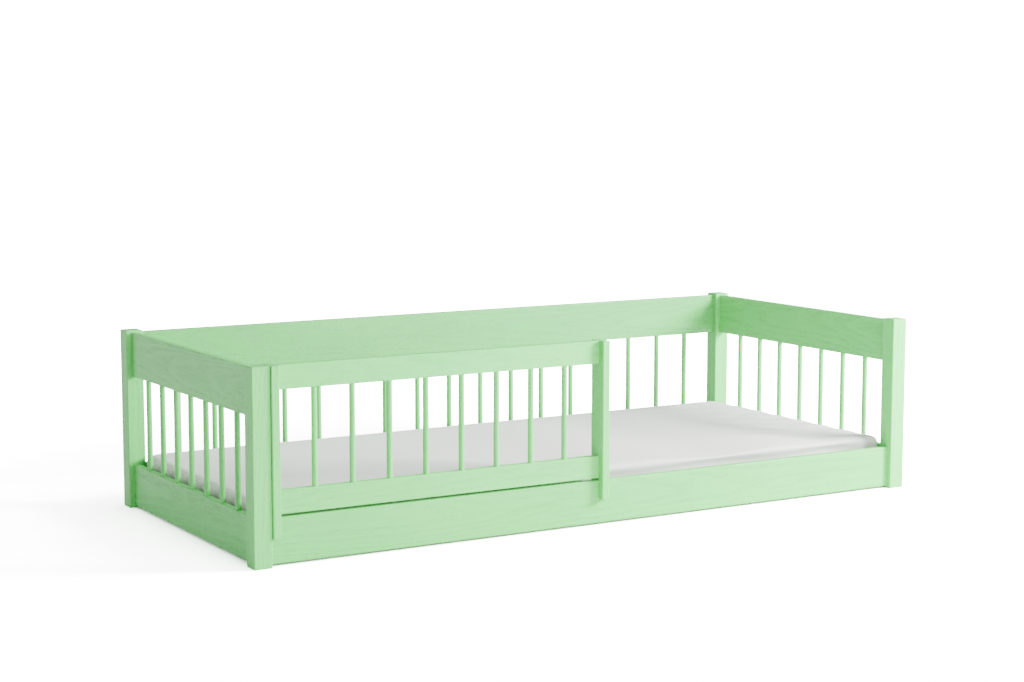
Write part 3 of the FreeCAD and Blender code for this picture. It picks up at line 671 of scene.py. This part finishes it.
def softForm(place, low, high):
    # broad swells of the top, a furrow behind the front roll, and ridges that run in from the right end
    plan = mattressPlan
    wander = plan["swellWander"] * unevenness(place, plan["swellPattern"])
    run = place.x - plan["swellMiddle"] + plan["swellSkew"] * place.y + wander
    broad = math.cos(2.0 * math.pi * run / plan["swellStep"])
    rightward = growing(plan["swellLeast"], (place.x - plan["swellStart"]) / plan["swellRun"])
    height = plan["swellHeight"] * (broad - plan["swellSink"]) * rightward
    height += plan["fineHeight"] * unevenness(place, plan["finePattern"])
    inset = min(high.x - place.x, place.x - low.x, high.y - place.y)
    height *= eased(inset / plan["sideFade"])

    furrowX, furrowY = plan["valleyPlace"]
    furrowY = furrowY - plan["valleySlope"] * (place.x - furrowX)
    furrow = plan["valleyDepth"] * math.exp(-(((place.y - furrowY) / plan["valleyWidth"]) ** 2))
    furrow *= eased((place.x - plan["valleyStart"]) / plan["valleyStartFade"])
    furrow *= eased((plan["valleyEnd"] - place.x) / plan["valleyEndFade"])
    height -= furrow

    pull = eased((place.x - plan["ridgeStart"]) / plan["ridgeRun"])
    skew = place.y - plan["ridgeMiddle"] - plan["ridgeSlope"] * (high.x - place.x)
    bend = plan["ridgeBend"] * unevenness(place, plan["bendPattern"])
    ridge = math.cos(2.0 * math.pi * (skew + bend) / plan["ridgeStep"])
    strength = plan["ridgeStrength"] + plan["ridgeUneven"] * unevenness(place, plan["ridgePattern"])
    fade = growing(plan["ridgeLeast"], (high.x - place.x) / plan["ridgeFade"])
    return height + plan["ridgeHeight"] * pull * (ridge - plan["ridgeSink"]) * strength * fade


def makeMattress():
    plan = mattressPlan
    low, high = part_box("mattress")
    mesh = startForm(low, high)
    mesh.name = "mattress_padding"
    piece = bpy.data.objects.new("mattress_padding", mesh)
    bpy.context.scene.collection.objects.link(piece)
    swell(piece)

    # the swollen form is let out again to fill the solid's length, width and edge height
    middle = (low + high) / 2
    reach = Vector([max(abs(v.co[axis] - middle[axis]) for v in mesh.vertices) for axis in range(2)])
    stretch = Vector(((high.x - middle.x) / reach.x, (high.y - middle.y) / reach.y))
    rim = max(v.co.z for v in mesh.vertices if v.co.y > high.y - 2.0 * plan["edgeRadius"])
    lift = low.z + plan["edgeHeight"] - rim
    halfWidth = high.y - middle.y
    shapedRun = plan["edgeHeight"] - (plan["stillBase"] + plan["fullBelow"])
    for vertex, normal in zip(mesh.vertices, [v.normal.copy() for v in mesh.vertices]):
        place = vertex.co
        place.x = middle.x + (place.x - middle.x) * stretch.x
        place.y = middle.y + (place.y - middle.y) * stretch.y
        upper = eased((place.z - low.z - plan["stillBase"]) / shapedRun)
        across = 1.0 - ((place.y - middle.y) / halfWidth) ** 2
        inland = eased(min(high.x - place.x, place.x - low.x) / plan["crownRun"])
        place.z += upper * (lift + plan["crown"] * max(across, 0.0) * inland)
        place += normal * upper * softForm(place, low, high)
        under = eased((plan["underStart"] - place.z) / plan["underRun"]) * eased(inland)
        outer = eased(abs(place.y - middle.y) / halfWidth * 2.0 - 1.0)
        place.y -= math.copysign(plan["underPull"] * under * outer, place.y - middle.y)
        place.x = min(max(place.x, low.x), high.x)
        place.y = min(max(place.y, low.y), high.y)
        place.z = min(max(place.z, low.z), high.z + plan["proud"])
    for polygon in mesh.polygons:
        polygon.use_smooth = True
    finish = piece.modifiers.new("finish", "SUBSURF")
    finish.levels = 1
    finish.render_levels = 1
    return piece


mattress = makeMattress()
setMaterial(mattress, makeCover())
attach(mattress, "mattress")
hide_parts("mattress")
print("mattress finished:", len(mattress.data.polygons), "faces")

screwPlan = {
    "headRadius": 0.0038,
    "headHeight": 0.0012,
    "headSides": 18,
    "taper": 0.82,  # the head's top against its foot
    "socketRadius": 0.0017,
    "socketDepth": 0.0008,
    "perLedger": 8,
    "ledgerInset": 0.06,
    "slatShares": (0.25, 0.75),  # where across an end slat its screws are
    "sunkProud": 0.0001,  # the end slats' heads are sunk, clear of the mattress
}


def addScrewHead(form, place, direction):
    # a low pan head with a round socket
    turn = Vector((0.0, 0.0, 1.0)).rotation_difference(direction).to_matrix()
    sides = screwPlan["headSides"]
    topRadius = screwPlan["headRadius"] * screwPlan["taper"]
    before = len(form.verts)
    made = bmesh.ops.create_cone(
        form,
        cap_ends=True,
        cap_tris=False,
        segments=sides,
        radius1=screwPlan["headRadius"],
        radius2=topRadius,
        depth=screwPlan["headHeight"],
    )
    caps = [f for f in form.faces if len(f.verts) == sides and f.verts[0] in made["verts"]]
    top = max(caps, key=lambda face: face.calc_center_median().z)
    rim = topRadius - screwPlan["socketRadius"]
    bmesh.ops.inset_region(form, faces=[top], thickness=rim)
    inner = bmesh.ops.extrude_discrete_faces(form, faces=[top])["faces"][0]
    bmesh.ops.translate(form, vec=(0.0, 0.0, -screwPlan["socketDepth"]), verts=inner.verts)
    verts = list(form.verts)[before:]
    bmesh.ops.rotate(form, cent=(0.0, 0.0, 0.0), matrix=turn, verts=verts)
    bmesh.ops.translate(form, vec=place, verts=verts)


def finishFitting(form, name, material):
    bmesh.ops.recalc_face_normals(form, faces=form.faces)
    mesh = bpy.data.meshes.new(name)
    form.to_mesh(mesh)
    form.free()
    piece = bpy.data.objects.new(name, mesh)
    bpy.context.scene.collection.objects.link(piece)
    setMaterial(piece, material)
    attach(piece, "bed_frame")
    return piece


def makeLedgerScrews():
    form = bmesh.new()
    lift = screwPlan["headHeight"] / 2
    for name, facing in (("front_ledger", 1.0), ("back_ledger", -1.0)):
        low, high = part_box(name)
        faceY = (high.y if facing > 0 else low.y) + facing * lift
        run = high.x - low.x - 2 * screwPlan["ledgerInset"]
        for index in range(screwPlan["perLedger"]):
            x = low.x + screwPlan["ledgerInset"] + run * index / (screwPlan["perLedger"] - 1)
            addScrewHead(form, Vector((x, faceY, (low.z + high.z) / 2)), Vector((0.0, facing, 0.0)))
    return finishFitting(form, "ledger_screws", steel)


def makeEndSlatScrews():
    # only the two end slats are screwed down, and the webbing holds the others
    form = bmesh.new()
    lift = screwPlan["headHeight"] / 2
    frontLedger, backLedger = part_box("front_ledger"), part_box("back_ledger")
    for name in ("slat_1", "slat_14"):
        low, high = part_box(name)
        for ledgerLow, ledgerHigh in (frontLedger, backLedger):
            for share in screwPlan["slatShares"]:
                x = low.x + (high.x - low.x) * share
                z = high.z - lift + screwPlan["sunkProud"]
                place = Vector((x, (ledgerLow.y + ledgerHigh.y) / 2, z))
                addScrewHead(form, place, Vector((0.0, 0.0, 1.0)))
    return finishFitting(form, "end_slat_screws", steel)


makeLedgerScrews()
makeEndSlatScrews()
print("small screws finished")
